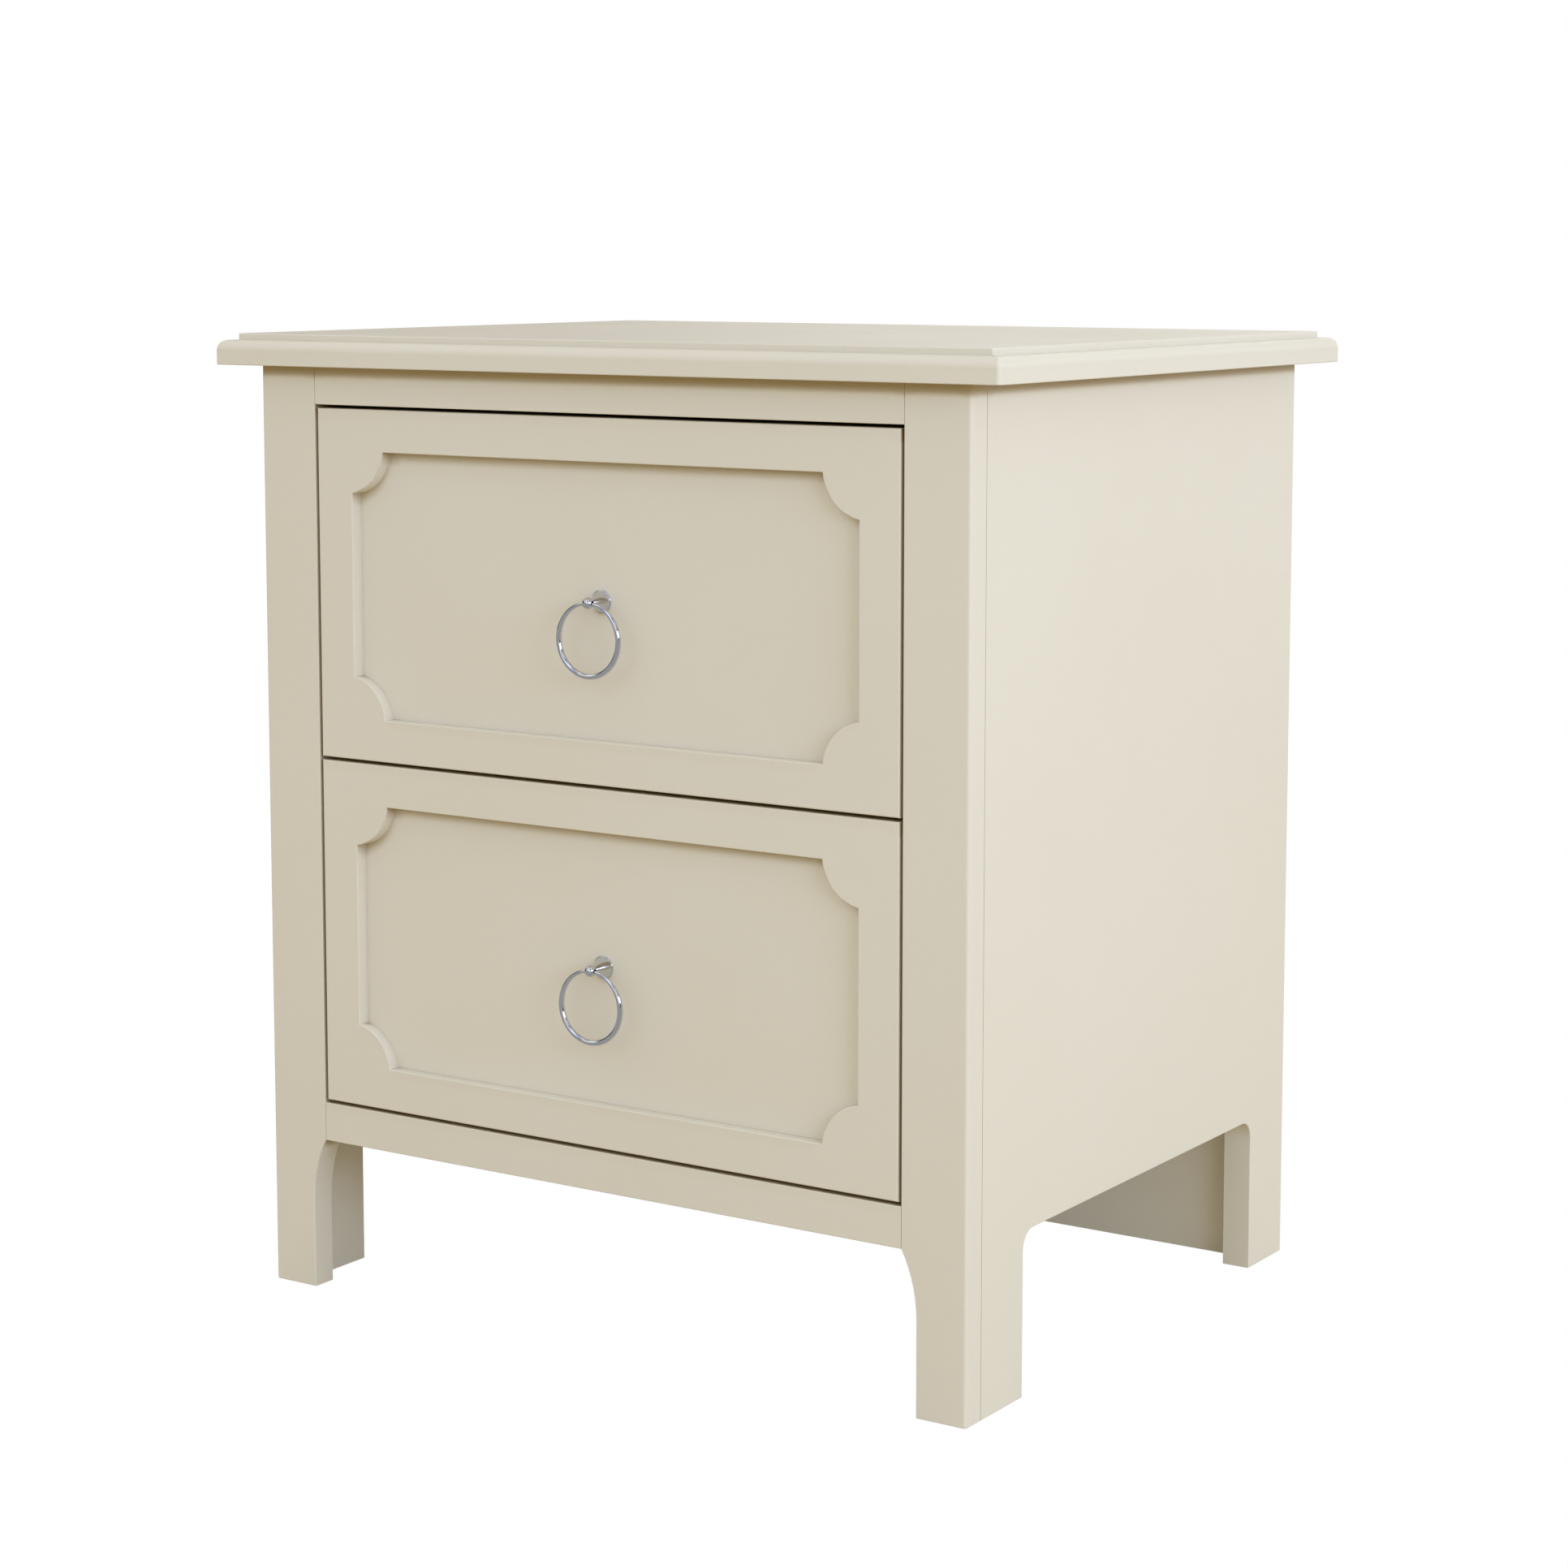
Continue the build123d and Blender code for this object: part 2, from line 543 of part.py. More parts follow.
for level in LEVELS:
    middle = LEVELS[level] + FRONT_TALL / 2
    front_screws = [
        ((x, INNER_FRONT_REAR, slide_middle(level) + step), FORWARD, FRONT_SCREW_LONG)
        for x in (-FRONT_SCREW_X, FRONT_SCREW_X)
        for step in (-FRONT_SCREW_STEP, FRONT_SCREW_STEP)
    ]
    pull_screw_long = INNER_FRONT_REAR - RECESS_FLOOR + PULL_SCREW_GRIP
    pull_screw = [((0, INNER_FRONT_REAR, middle), FORWARD, pull_screw_long)]
    web = BOX_HALF + DRAWER_CHANNEL["sheet"]
    box_screws = [
        ((side * web, SLIDE_FRONT + y, slide_middle(level)), (-side, 0, 0), BOX_SCREW_LONG)
        for side in SIDES.values()
        for y in BOX_SCREW_SETBACKS
    ]
    parts[f"{level}_drawer_front"] = drawer_front(level, front_screws + pull_screw)
    for name, piece in drawer_box(level, box_screws, front_screws + pull_screw).items():
        parts[f"{level}_drawer_{name}"] = piece
    for name, side in SIDES.items():
        member = channel(side, level, DRAWER_CHANNEL)
        parts[f"{level}_{name}_drawer_channel"] = drilled(member, box_screws, SLIDE_SCREW["shank"])
    parts[f"{level}_front_screws"] = screws(front_screws, WOOD_SCREW)
    parts[f"{level}_drawer_channel_screws"] = screws(box_screws, SLIDE_SCREW)
    parts[f"{level}_pull_screw"] = screws(pull_screw, WOOD_SCREW)
    parts[f"{level}_pull_post"] = pull_post(level)
    parts[f"{level}_pull_ring"] = pull_ring(level)


# ---------------------------------------------------------------- files

os.makedirs("parts", exist_ok=True)
for name, shape in parts.items():
    export_step(shape, f"parts/{name}.step")
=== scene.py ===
"""Looks for the two-drawer nightstand: cream paint, pale drawer boards, zinc slides and chrome ring pulls."""

import json
import math

import bmesh
import bpy
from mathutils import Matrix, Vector


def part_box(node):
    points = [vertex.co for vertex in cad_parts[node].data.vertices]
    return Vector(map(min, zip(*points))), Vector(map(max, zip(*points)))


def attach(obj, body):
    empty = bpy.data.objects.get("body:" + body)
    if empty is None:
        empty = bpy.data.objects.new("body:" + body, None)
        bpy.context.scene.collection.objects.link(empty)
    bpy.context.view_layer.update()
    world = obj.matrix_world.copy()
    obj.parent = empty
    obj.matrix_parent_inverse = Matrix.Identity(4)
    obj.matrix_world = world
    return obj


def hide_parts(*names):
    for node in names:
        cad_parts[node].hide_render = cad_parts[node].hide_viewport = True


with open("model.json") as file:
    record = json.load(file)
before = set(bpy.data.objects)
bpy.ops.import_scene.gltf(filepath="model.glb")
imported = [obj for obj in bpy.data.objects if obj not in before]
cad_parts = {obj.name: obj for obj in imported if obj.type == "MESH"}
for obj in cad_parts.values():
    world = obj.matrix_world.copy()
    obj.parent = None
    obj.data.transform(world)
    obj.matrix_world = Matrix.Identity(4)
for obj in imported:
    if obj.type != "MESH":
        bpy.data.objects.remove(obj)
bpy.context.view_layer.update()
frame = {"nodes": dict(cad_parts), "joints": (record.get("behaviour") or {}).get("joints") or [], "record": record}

SLOT_OF = {row["node"]: row["material_slot"] for row in frame["record"]["subparts"]}
LEVELS = ("lower", "upper")

# Moulded edge of the top, in metres: a quarter round, a ledge, and a small step up to the field
MOULD_ROUND = 0.0064
MOULD_LEDGE = 0.0037
MOULD_STEP = 0.004
FIELD_EASE = 0.0008
FIELD_CORNER = 0.001
SLAB_CORNER = 0.0028
UNDER_EASE = 0.0004
ROUND_STEPS = 10
EASE_STEPS = 3
CORNER_STEPS = 5

# Faces that meet at more than this many degrees keep a crisp edge between them
SHARP_ANGLE = 35

# Ring pulls: the wire is thin where it passes the ball and full from the sides down. The bore is
# a little wider than the curved wire needs, so that the ring swings clear of its mouths.
RING_RADIUS = 0.0211
RING_DROP = 0.0001
THIN_WIRE = 0.00105
FULL_WIRE = 0.0017
RING_STEPS = 120
WIRE_STEPS = 20
BALL_RADIUS = 0.0035
BORE_RADIUS = 0.00145
BASE_RADIUS = 0.0068
BASE_RIM = 0.0008
NECK_RADIUS = 0.0017
PULL_STEPS = 64
BALL_STEPS = 24
CROWN_SHARE = 0.8
RIM_SIDE_SHARE = 0.4
RIM_EASE_SHARE = 0.5
RIM_EASE_STEPS = 4
SWELL_SPAN = 1.1
SAME_POINT = 0.000001

# Painted shade: the paint turns darker and warmer under ledges and in gaps, where shade falls from above
SHADE_REACH = 0.009
SHADE_LEAN = (0, 0, 2)
SHADE_STRENGTH = 0.9
SHADE_TINT = (0.36, 0.26, 0.11, 1)
# Edges of the paint turn lighter: partly wear where the paint is thin, partly painted highlight where eased edges
# catch the light
EDGE_WEAR_AND_HIGHLIGHT_WIDTH = 0.0008
EDGE_WEAR_AND_HIGHLIGHT_STRENGTH = 0.35
EDGE_WEAR_AND_HIGHLIGHT_TINT = (0.84, 0.81, 0.735, 1)
ORANGE_PEEL_SCALE = 580.0
ORANGE_PEEL_DEPTH = 0.00004

# Wood grain: how often the bands and pores repeat along the board and across it
BAND_ALONG, BAND_ACROSS = 3.0, 75.0
PORE_ALONG, PORE_ACROSS = 60.0, 1400.0
PORE_DEPTH = 0.00006

# Rolling lines of the slides, which run from front to back
ROLLING = (2500.0, 14.0, 2500.0)
ROLLING_DEPTH = 0.00001

# Pebbled skin of the cast housings
PEBBLE_SCALE = 1500.0
PEBBLE_DEPTH = 0.00004


# ---------------------------------------------------------------- shader tools

def feed(tree, value, socket):
    """Links a socket, or sets a plain value."""
    if isinstance(value, bpy.types.NodeSocket):
        tree.links.new(value, socket)
    else:
        socket.default_value = value


def maths(tree, operation, first, second=0.0):
    node = tree.nodes.new("ShaderNodeMath")
    node.operation = operation
    feed(tree, first, node.inputs[0])
    feed(tree, second, node.inputs[1])
    return node.outputs[0]


def spread(tree, value, old, new):
    """Maps a value from one range to another, and keeps it inside."""
    node = tree.nodes.new("ShaderNodeMapRange")
    for label, number in zip(("From Min", "From Max", "To Min", "To Max"), (*old, *new)):
        feed(tree, number, node.inputs[label])
    tree.links.new(value, node.inputs["Value"])
    return node.outputs["Result"]


def blend(tree, amount, first, second):
    """A colour between two colours."""
    node = tree.nodes.new("ShaderNodeMix")
    node.data_type = "RGBA"
    feed(tree, amount, node.inputs["Factor"])
    feed(tree, first, node.inputs["A"])
    feed(tree, second, node.inputs["B"])
    return node.outputs["Result"]


def noise(tree, vector, scale, detail=3.0):
    texture = tree.nodes.new("ShaderNodeTexNoise")
    texture.inputs["Detail"].default_value = detail
    feed(tree, scale, texture.inputs["Scale"])
    tree.links.new(vector, texture.inputs["Vector"])
    return texture.outputs["Fac"]


def stretched(tree, vector, along):
    """The vector squeezed, so that a pattern on it runs long along the axes with small numbers."""
    mapping = tree.nodes.new("ShaderNodeMapping")
    feed(tree, along, mapping.inputs["Scale"])
    tree.links.new(vector, mapping.inputs["Vector"])
    return mapping.outputs["Vector"]


def effect(name, inputs, outputs):
    """A node group with named sockets, given as (name, kind, default) and (name, kind)."""
    tree = bpy.data.node_groups.new(name, "ShaderNodeTree")
    for label, kind, default in inputs:
        socket = tree.interface.new_socket(label, in_out="INPUT", socket_type="NodeSocket" + kind)
        if default is not None:
            socket.default_value = default
    for label, kind in outputs:
        tree.interface.new_socket(label, in_out="OUTPUT", socket_type="NodeSocket" + kind)
    return tree, tree.nodes.new("NodeGroupInput").outputs, tree.nodes.new("NodeGroupOutput").inputs


def place(tree, group, **values):
    """Puts an effect into a material with its own values, and returns its outputs."""
    node = tree.nodes.new("ShaderNodeGroup")
    node.node_tree = group
    for label, value in values.items():
        feed(tree, value, node.inputs[label.replace("_", " ").capitalize()])
    return node.outputs


def relief(tree, shader, height, depth):
    """Relief from a height between 0 and 1, with its full depth in metres."""
    bump = tree.nodes.new("ShaderNodeBump")
    bump.inputs["Distance"].default_value = depth
    tree.links.new(height, bump.inputs["Height"])
    tree.links.new(bump.outputs["Normal"], shader.inputs["Normal"])


def finish(name, **values):
    """A material with plain values on its shader, and its tree, shader and place on the piece."""
    material = bpy.data.materials.new(name)
    material.use_nodes = True
    tree = material.node_tree
    shader = tree.nodes["Principled BSDF"]
    for label, value in values.items():
        feed(tree, value, shader.inputs[label.replace("_", " ")])
    return material, tree, shader, tree.nodes.new("ShaderNodeTexCoord").outputs["Object"]


# ---------------------------------------------------------------- effects that several finishes share

def make_patches():
    """Slow changes of colour over a surface, with a finer speckle on top."""
    inputs = [("Vector", "Vector", None), ("Scale", "Float", 5.0), ("Speckle scale", "Float", 300.0)]
    inputs += [("First", "Color", None), ("Second", "Color", None)]
    tree, given, out = effect("colour_patches", inputs, [("Colour", "Color")])
    slow = noise(tree, given["Vector"], given["Scale"], 2.0)
    fine = noise(tree, given["Vector"], given["Speckle scale"], 2.0)
    both = maths(tree, "ADD", maths(tree, "MULTIPLY", slow, 0.7), maths(tree, "MULTIPLY", fine, 0.3))
    amount = spread(tree, both, (0.35, 0.65), (0.0, 1.0))
    tree.links.new(blend(tree, amount, given["First"], given["Second"]), out["Colour"])
    return tree


def make_gloss():
    """Roughness that wanders between two values, as a handled or sprayed surface has."""
    inputs = [("Vector", "Vector", None), ("Scale", "Float", 20.0)]
    inputs += [("Smooth", "Float", 0.3), ("Rough", "Float", 0.5)]
    tree, given, out = effect("uneven_gloss", inputs, [("Roughness", "Float")])
    wander = noise(tree, given["Vector"], given["Scale"], 4.0)
    result = spread(tree, wander, (0.3, 0.7), (given["Smooth"], given["Rough"]))
    tree.links.new(result, out["Roughness"])
    return tree


def make_grain():
    """Wood grain that runs long along the axes with small numbers, with growth bands and short pores."""
    inputs = [("Vector", "Vector", None), ("Bands", "Vector", (1, 1, 1)), ("Pores", "Vector", (1, 1, 1))]
    inputs += [("Early", "Color", None), ("Late", "Color", None), ("Pore", "Color", None)]
    tree, given, out = effect("wood_grain", inputs, [("Colour", "Color"), ("Height", "Float")])
    bands = noise(tree, stretched(tree, given["Vector"], given["Bands"]), 1.0, 5.0)
    pores = noise(tree, stretched(tree, given["Vector"], given["Pores"]), 1.0, 2.0)
    band_amount = spread(tree, bands, (0.38, 0.62), (0.0, 1.0))
    pore_amount = spread(tree, pores, (0.6, 0.72), (0.0, 0.6))
    wood = blend(tree, band_amount, given["Early"], given["Late"])
    tree.links.new(blend(tree, pore_amount, wood, given["Pore"]), out["Colour"])
    tree.links.new(maths(tree, "SUBTRACT", 1.0, pore_amount), out["Height"])
    return tree


def make_edges():
    """A mask of 1 along sharp outer and inner edges, within a width."""
    tree, given, out = effect("edge_band", [("Width", "Float", 0.001)], [("Mask", "Float")])
    bevel = tree.nodes.new("ShaderNodeBevel")
    bevel.samples = 4
    tree.links.new(given["Width"], bevel.inputs["Radius"])
    flat = tree.nodes.new("ShaderNodeNewGeometry").outputs["Normal"]
    compare = tree.nodes.new("ShaderNodeVectorMath")
    compare.operation = "DOT_PRODUCT"
    tree.links.new(bevel.outputs["Normal"], compare.inputs[0])
    tree.links.new(flat, compare.inputs[1])
    tree.links.new(spread(tree, compare.outputs["Value"], (0.99, 0.8), (0.0, 1.0)), out["Mask"])
    return tree


def make_corners():
    """A mask of 1 under a ledge or deep in a gap, where shade falls, which fades out over a distance."""
    inputs = [("Distance", "Float", 0.02), ("Lean", "Vector", (0, 0, 0))]
    tree, given, out = effect("corner_shade", inputs, [("Mask", "Float")])
    flat = tree.nodes.new("ShaderNodeNewGeometry").outputs["Normal"]
    leant = tree.nodes.new("ShaderNodeVectorMath")
    tree.links.new(flat, leant.inputs[0])
    tree.links.new(given["Lean"], leant.inputs[1])
    occlusion = tree.nodes.new("ShaderNodeAmbientOcclusion")
    occlusion.samples = 6
    tree.links.new(given["Distance"], occlusion.inputs["Distance"])
    tree.links.new(leant.outputs["Vector"], occlusion.inputs["Normal"])
    tree.links.new(spread(tree, occlusion.outputs["AO"], (0.6, 0.33), (0.0, 1.0)), out["Mask"])
    return tree


PATCHES = make_patches()
GLOSS = make_gloss()
GRAIN = make_grain()
EDGES = make_edges()
CORNERS = make_corners()


# ---------------------------------------------------------------- finishes

def cream_paint():
    """Satin cream paint, sprayed: faint mottling, a fine orange peel, and painted shade, darker and warmer, in
    corners and under ledges.
    """
    material, tree, shader, spot = finish("cream_paint", Specular_IOR_Level=0.3)
    first, second = (0.785, 0.742, 0.645, 1), (0.77, 0.725, 0.622, 1)
    paint = place(tree, PATCHES, vector=spot, scale=6.0, speckle_scale=450.0, first=first, second=second)
    # Painted shade: the colour turns towards SHADE_TINT under ledges and in gaps, where the occlusion mask is high
    corners = place(tree, CORNERS, distance=SHADE_REACH, lean=SHADE_LEAN)
    deep = maths(tree, "MULTIPLY", corners["Mask"], SHADE_STRENGTH)
    colour = blend(tree, deep, paint["Colour"], SHADE_TINT)
    # Edges painted lighter: partly wear where the paint is thin, partly painted highlight where eased edges catch
    # the light
    worn_and_lit_edges = maths(tree, "MULTIPLY", place(tree, EDGES, width=EDGE_WEAR_AND_HIGHLIGHT_WIDTH)["Mask"], EDGE_WEAR_AND_HIGHLIGHT_STRENGTH)
    tree.links.new(blend(tree, worn_and_lit_edges, colour, EDGE_WEAR_AND_HIGHLIGHT_TINT), shader.inputs["Base Color"])
    gloss = place(tree, GLOSS, vector=spot, scale=14.0, smooth=0.38, rough=0.48)
    tree.links.new(gloss["Roughness"], shader.inputs["Roughness"])
    relief(tree, shader, noise(tree, spot, ORANGE_PEEL_SCALE, 2.0), ORANGE_PEEL_DEPTH)
    return material


def boards(name, axis, early, late, pore, gloss_range):
    """Pale wood whose grain runs along one axis of the nightstand."""
    material, tree, shader, spot = finish(name)
    bands = [BAND_ALONG if n == axis else BAND_ACROSS for n in range(3)]
    pores = [PORE_ALONG if n == axis else PORE_ACROSS for n in range(3)]
    wood = place(tree, GRAIN, vector=spot, bands=bands, pores=pores, early=early, late=late, pore=pore)
    rubbed = maths(tree, "MULTIPLY", place(tree, EDGES, width=0.001)["Mask"], 0.4)
    tree.links.new(blend(tree, rubbed, wood["Colour"], early), shader.inputs["Base Color"])
    gloss = place(tree, GLOSS, vector=spot, scale=35.0, smooth=gloss_range[0], rough=gloss_range[1])
    tree.links.new(gloss["Roughness"], shader.inputs["Roughness"])
    relief(tree, shader, wood["Height"], PORE_DEPTH)
    return material


def drawer_board(axis):
    """Clear-lacquered board of the drawer boxes."""
    colours = ((0.70, 0.53, 0.345, 1), (0.585, 0.405, 0.235, 1), (0.40, 0.26, 0.14, 1))
    return boards("drawer_board_" + "xyz"[axis], axis, *colours, (0.36, 0.5))


def bare_wood(axis):
    """Planed, unfinished wood of the battens, stretchers and dowels."""
    colours = ((0.66, 0.49, 0.30, 1), (0.52, 0.35, 0.19, 1), (0.36, 0.23, 0.12, 1))
    return boards("bare_wood_" + "xyz"[axis], axis, *colours, (0.6, 0.75))


def slide_steel():
    """Zinc-plated strip, rolled along the slide."""
    material, tree, shader, spot = finish("slide_steel", Metallic=1.0)
    first, second = (0.56, 0.575, 0.59, 1), (0.66, 0.665, 0.66, 1)
    plate = place(tree, PATCHES, vector=spot, scale=40.0, speckle_scale=900.0, first=first, second=second)
    bright = place(tree, EDGES, width=0.0004)["Mask"]
    tree.links.new(blend(tree, bright, plate["Colour"], (0.8, 0.8, 0.8, 1)), shader.inputs["Base Color"])
    rolled = noise(tree, stretched(tree, spot, ROLLING), 1.0, 2.0)
    tree.links.new(spread(tree, rolled, (0.3, 0.7), (0.26, 0.42)), shader.inputs["Roughness"])
    relief(tree, shader, rolled, ROLLING_DEPTH)
    return material


def zinc_steel():
    """Bright zinc of the screws, with a faint blue and yellow bloom."""
    material, tree, shader, spot = finish("zinc_steel", Metallic=1.0)
    first, second = (0.66, 0.69, 0.72, 1), (0.73, 0.70, 0.60, 1)
    plate = place(tree, PATCHES, vector=spot, scale=220.0, speckle_scale=1800.0, first=first, second=second)
    tree.links.new(plate["Colour"], shader.inputs["Base Color"])
    gloss = place(tree, GLOSS, vector=spot, scale=500.0, smooth=0.2, rough=0.38)
    tree.links.new(gloss["Roughness"], shader.inputs["Roughness"])
    return material


def cast_zinc():
    """Die-cast housings: dull grey with a fine pebbled skin."""
    material, tree, shader, spot = finish("cast_zinc", Metallic=1.0)
    first, second = (0.42, 0.425, 0.43, 1), (0.52, 0.52, 0.515, 1)
    skin = place(tree, PATCHES, vector=spot, scale=120.0, speckle_scale=1500.0, first=first, second=second)
    tree.links.new(skin["Colour"], shader.inputs["Base Color"])
    gloss = place(tree, GLOSS, vector=spot, scale=300.0, smooth=0.45, rough=0.62)
    tree.links.new(gloss["Roughness"], shader.inputs["Roughness"])
    relief(tree, shader, noise(tree, spot, PEBBLE_SCALE, 2.0), PEBBLE_DEPTH)
    return material


def polished_chrome():
    """Mirror chrome with a faint film of handling."""
    material, tree, shader, spot = finish("polished_chrome", Metallic=1.0)
    first, second = (0.60, 0.615, 0.645, 1), (0.655, 0.665, 0.69, 1)
    plate = place(tree, PATCHES, vector=spot, scale=90.0, speckle_scale=1200.0, first=first, second=second)
    tree.links.new(plate["Colour"], shader.inputs["Base Color"])
    gloss = place(tree, GLOSS, vector=spot, scale=160.0, smooth=0.03, rough=0.08)
    tree.links.new(gloss["Roughness"], shader.inputs["Roughness"])
    return material


PAINT = cream_paint()
CHROME = polished_chrome()
DRAWER_BOARDS = {axis: drawer_board(axis) for axis in (0, 1)}
BARE_WOODS = {axis: bare_wood(axis) for axis in (0, 1)}
PLAIN_FINISHES = {
    "cream_paint": PAINT,
    "polished_chrome": CHROME,
    "slide_steel": slide_steel(),
    "zinc_steel": zinc_steel(),
    "cast_zinc": cast_zinc(),
}


def finish_of(name):
    """The finish of a CAD node: on wood, the grain runs along the node's longer level side."""
    slot = SLOT_OF[name]
    if slot in PLAIN_FINISHES:
        return PLAIN_FINISHES[slot]
    low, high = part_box(name)
    axis = 0 if high.x - low.x > high.y - low.y else 1
    return (DRAWER_BOARDS if slot == "drawer_board" else BARE_WOODS)[axis]


for name, node in frame["nodes"].items():
    node.data.materials.clear()
    node.data.materials.append(finish_of(name))


# ---------------------------------------------------------------- pieces made here

def piece_from(bm, name, material, body, node):
    """A finished piece that stands for a CAD node and rides on its body."""
    mesh = bpy.data.meshes.new(name)
    for face in bm.faces:
        face.smooth = True
    bmesh.ops.recalc_face_normals(bm, faces=bm.faces)
    bm.to_mesh(mesh)
    bm.free()
    mesh.materials.append(material)
    piece = bpy.data.objects.new(name, mesh)
    bpy.context.scene.collection.objects.link(piece)
    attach(piece, body)
    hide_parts(node)
    return piece


def even_shading(piece):
    """Keeps flat faces flat next to rounds, and edges crisp."""
    normals = piece.modifiers.new("even_shading", "WEIGHTED_NORMAL")
    normals.keep_sharp = True
    piece.data.set_sharp_from_angle(angle=math.radians(SHARP_ANGLE))


def level_outline(bm, half_x, half_y, height, corner):
    """A level rectangle with rounded corners, as one face."""
    before = set(bm.faces)
    corners = bmesh.ops.create_grid(bm, x_segments=1, y_segments=1, size=1.0)["verts"]
    bmesh.ops.scale(bm, vec=(half_x, half_y, 1.0), verts=corners)
    bmesh.ops.translate(bm, vec=(0.0, 0.0, height), verts=corners)
    bmesh.ops.bevel(
        bm, geom=corners, offset=corner, segments=CORNER_STEPS, affect="VERTICES", profile=0.5, material=-1
    )
    return (set(bm.faces) - before).pop()


def quarter(radius, steps):
    """Points of a quarter round as (inset, rise), from its foot to its crown."""
    angles = [math.radians(90 * step / steps) for step in range(steps + 1)]
    return [(radius * (1 - math.cos(angle)), radius * math.sin(angle)) for angle in angles]


def moulded_top():
    """The top board, with its moulding run round all four sides and round the corners."""
    low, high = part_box("top_board")
    ledge = high.z - MOULD_STEP
    field_inset = MOULD_ROUND + MOULD_LEDGE
    profile = [(UNDER_EASE, low.z), (0.0, low.z + UNDER_EASE)]
    profile += [(inset, ledge - MOULD_ROUND + rise) for inset, rise in quarter(MOULD_ROUND, ROUND_STEPS)]
    profile += [(field_inset, ledge)]
    for inset, rise in quarter(FIELD_EASE, EASE_STEPS):
        profile.append((field_inset + inset, high.z - FIELD_EASE + rise))
    bm = bmesh.new()
    faces = []
    for inset, height in profile:
        corner = FIELD_CORNER if inset >= field_inset else max(SLAB_CORNER - inset, FIELD_CORNER / 2)
        faces.append(level_outline(bm, high.x - inset, high.y - inset, height, corner))
    loops = [list(face.edges) for face in faces]
    bmesh.ops.delete(bm, geom=faces[1:-1], context="FACES_ONLY")
    for below, above in zip(loops, loops[1:]):
        bmesh.ops.bridge_loops(bm, edges=below + above)
    even_shading(piece_from(bm, "moulded_top", PAINT, "cabinet", "top_board"))


def bead(bm):
    """The ball, bored through from side to side, round the origin."""
    start = math.asin(BORE_RADIUS / BALL_RADIUS)
    angles = [start + (math.pi - 2 * start) * step / BALL_STEPS for step in range(BALL_STEPS + 1)]
    points = [(BALL_RADIUS * math.cos(angle), 0.0, BALL_RADIUS * math.sin(angle)) for angle in angles]
    outline = [bm.verts.new(point) for point in points]
    edges = [bm.edges.new(pair) for pair in zip(outline, outline[1:] + outline[:1])]
    bmesh.ops.spin(
        bm, geom=outline + edges, cent=(0, 0, 0), axis=(1, 0, 0),
        angle=math.tau, steps=PULL_STEPS, use_merge=True,
    )


def coned_base(bm, reach):
    """The rim and cone behind the ball, closed at the recess floor and inside the ball."""
    floor, crown = reach, BALL_RADIUS * CROWN_SHARE
    points = [(0.0, floor), (BASE_RADIUS, floor)]
    for inset, rise in quarter(BASE_RIM * RIM_EASE_SHARE, RIM_EASE_STEPS):
        points.append((BASE_RADIUS - inset, floor - BASE_RIM * RIM_SIDE_SHARE - rise))
    points += [(NECK_RADIUS, crown), (0.0, crown)]
    outline = [bm.verts.new((radius, depth, 0.0)) for radius, depth in points]
    edges = [bm.edges.new(pair) for pair in zip(outline, outline[1:])]
    bmesh.ops.spin(
        bm, geom=outline + edges, cent=(0, 0, 0), axis=(0, 1, 0),
        angle=math.tau, steps=PULL_STEPS, use_merge=True,
    )
    bmesh.ops.remove_doubles(bm, verts=bm.verts, dist=SAME_POINT)


def pull_middle(level):
    """The middle of the ball, which the ring swings about."""
    hinges = {joint["name"]: joint for joint in frame["joints"]}
    return Vector(hinges[f"{level}_ring_swing"]["pos_m"])


def pull_post(level):
    """The turned post of one pull: a rim, a cone and a bored ball."""
    middle = pull_middle(level)
    bm = bmesh.new()
    coned_base(bm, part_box(f"{level}_pull_post")[1].y - middle.y)
    bead(bm)
    bmesh.ops.translate(bm, vec=middle, verts=bm.verts)
    post = piece_from(bm, f"{level}_turned_post", CHROME, f"{level}_drawer", f"{level}_pull_post")
    even_shading(post)


def wire_ring(level):
    """The ring of one pull: round wire that swells from the ball down to the sides."""
    bm = bmesh.new()
    section = bmesh.ops.create_circle(bm, segments=WIRE_STEPS, radius=FULL_WIRE)["verts"]
    bmesh.ops.translate(bm, vec=(RING_RADIUS, 0.0, 0.0), verts=section)
    bmesh.ops.spin(
        bm, geom=bm.verts[:] + bm.edges[:], cent=(0, 0, 0), axis=(0, 1, 0),
        angle=math.tau, steps=RING_STEPS, use_merge=True,
    )
    for vert in bm.verts:
        around = math.atan2(vert.co.x, vert.co.z)
        middle = RING_RADIUS * Vector((math.sin(around), 0.0, math.cos(around)))
        swell = min(1.0, (1 - math.cos(around)) / SWELL_SPAN)
        radius = THIN_WIRE + (FULL_WIRE - THIN_WIRE) * swell * (2 - swell)
        vert.co = middle + (vert.co - middle).normalized() * radius
    hang = pull_middle(level) - Vector((0.0, 0.0, RING_DROP + RING_RADIUS))
    bmesh.ops.translate(bm, vec=hang, verts=bm.verts)
    piece_from(bm, f"{level}_wire_ring", CHROME, f"{level}_ring", f"{level}_pull_ring")


moulded_top()
for level in LEVELS:
    pull_post(level)
    wire_ring(level)


# ---------------------------------------------------------------- camera, light and floor

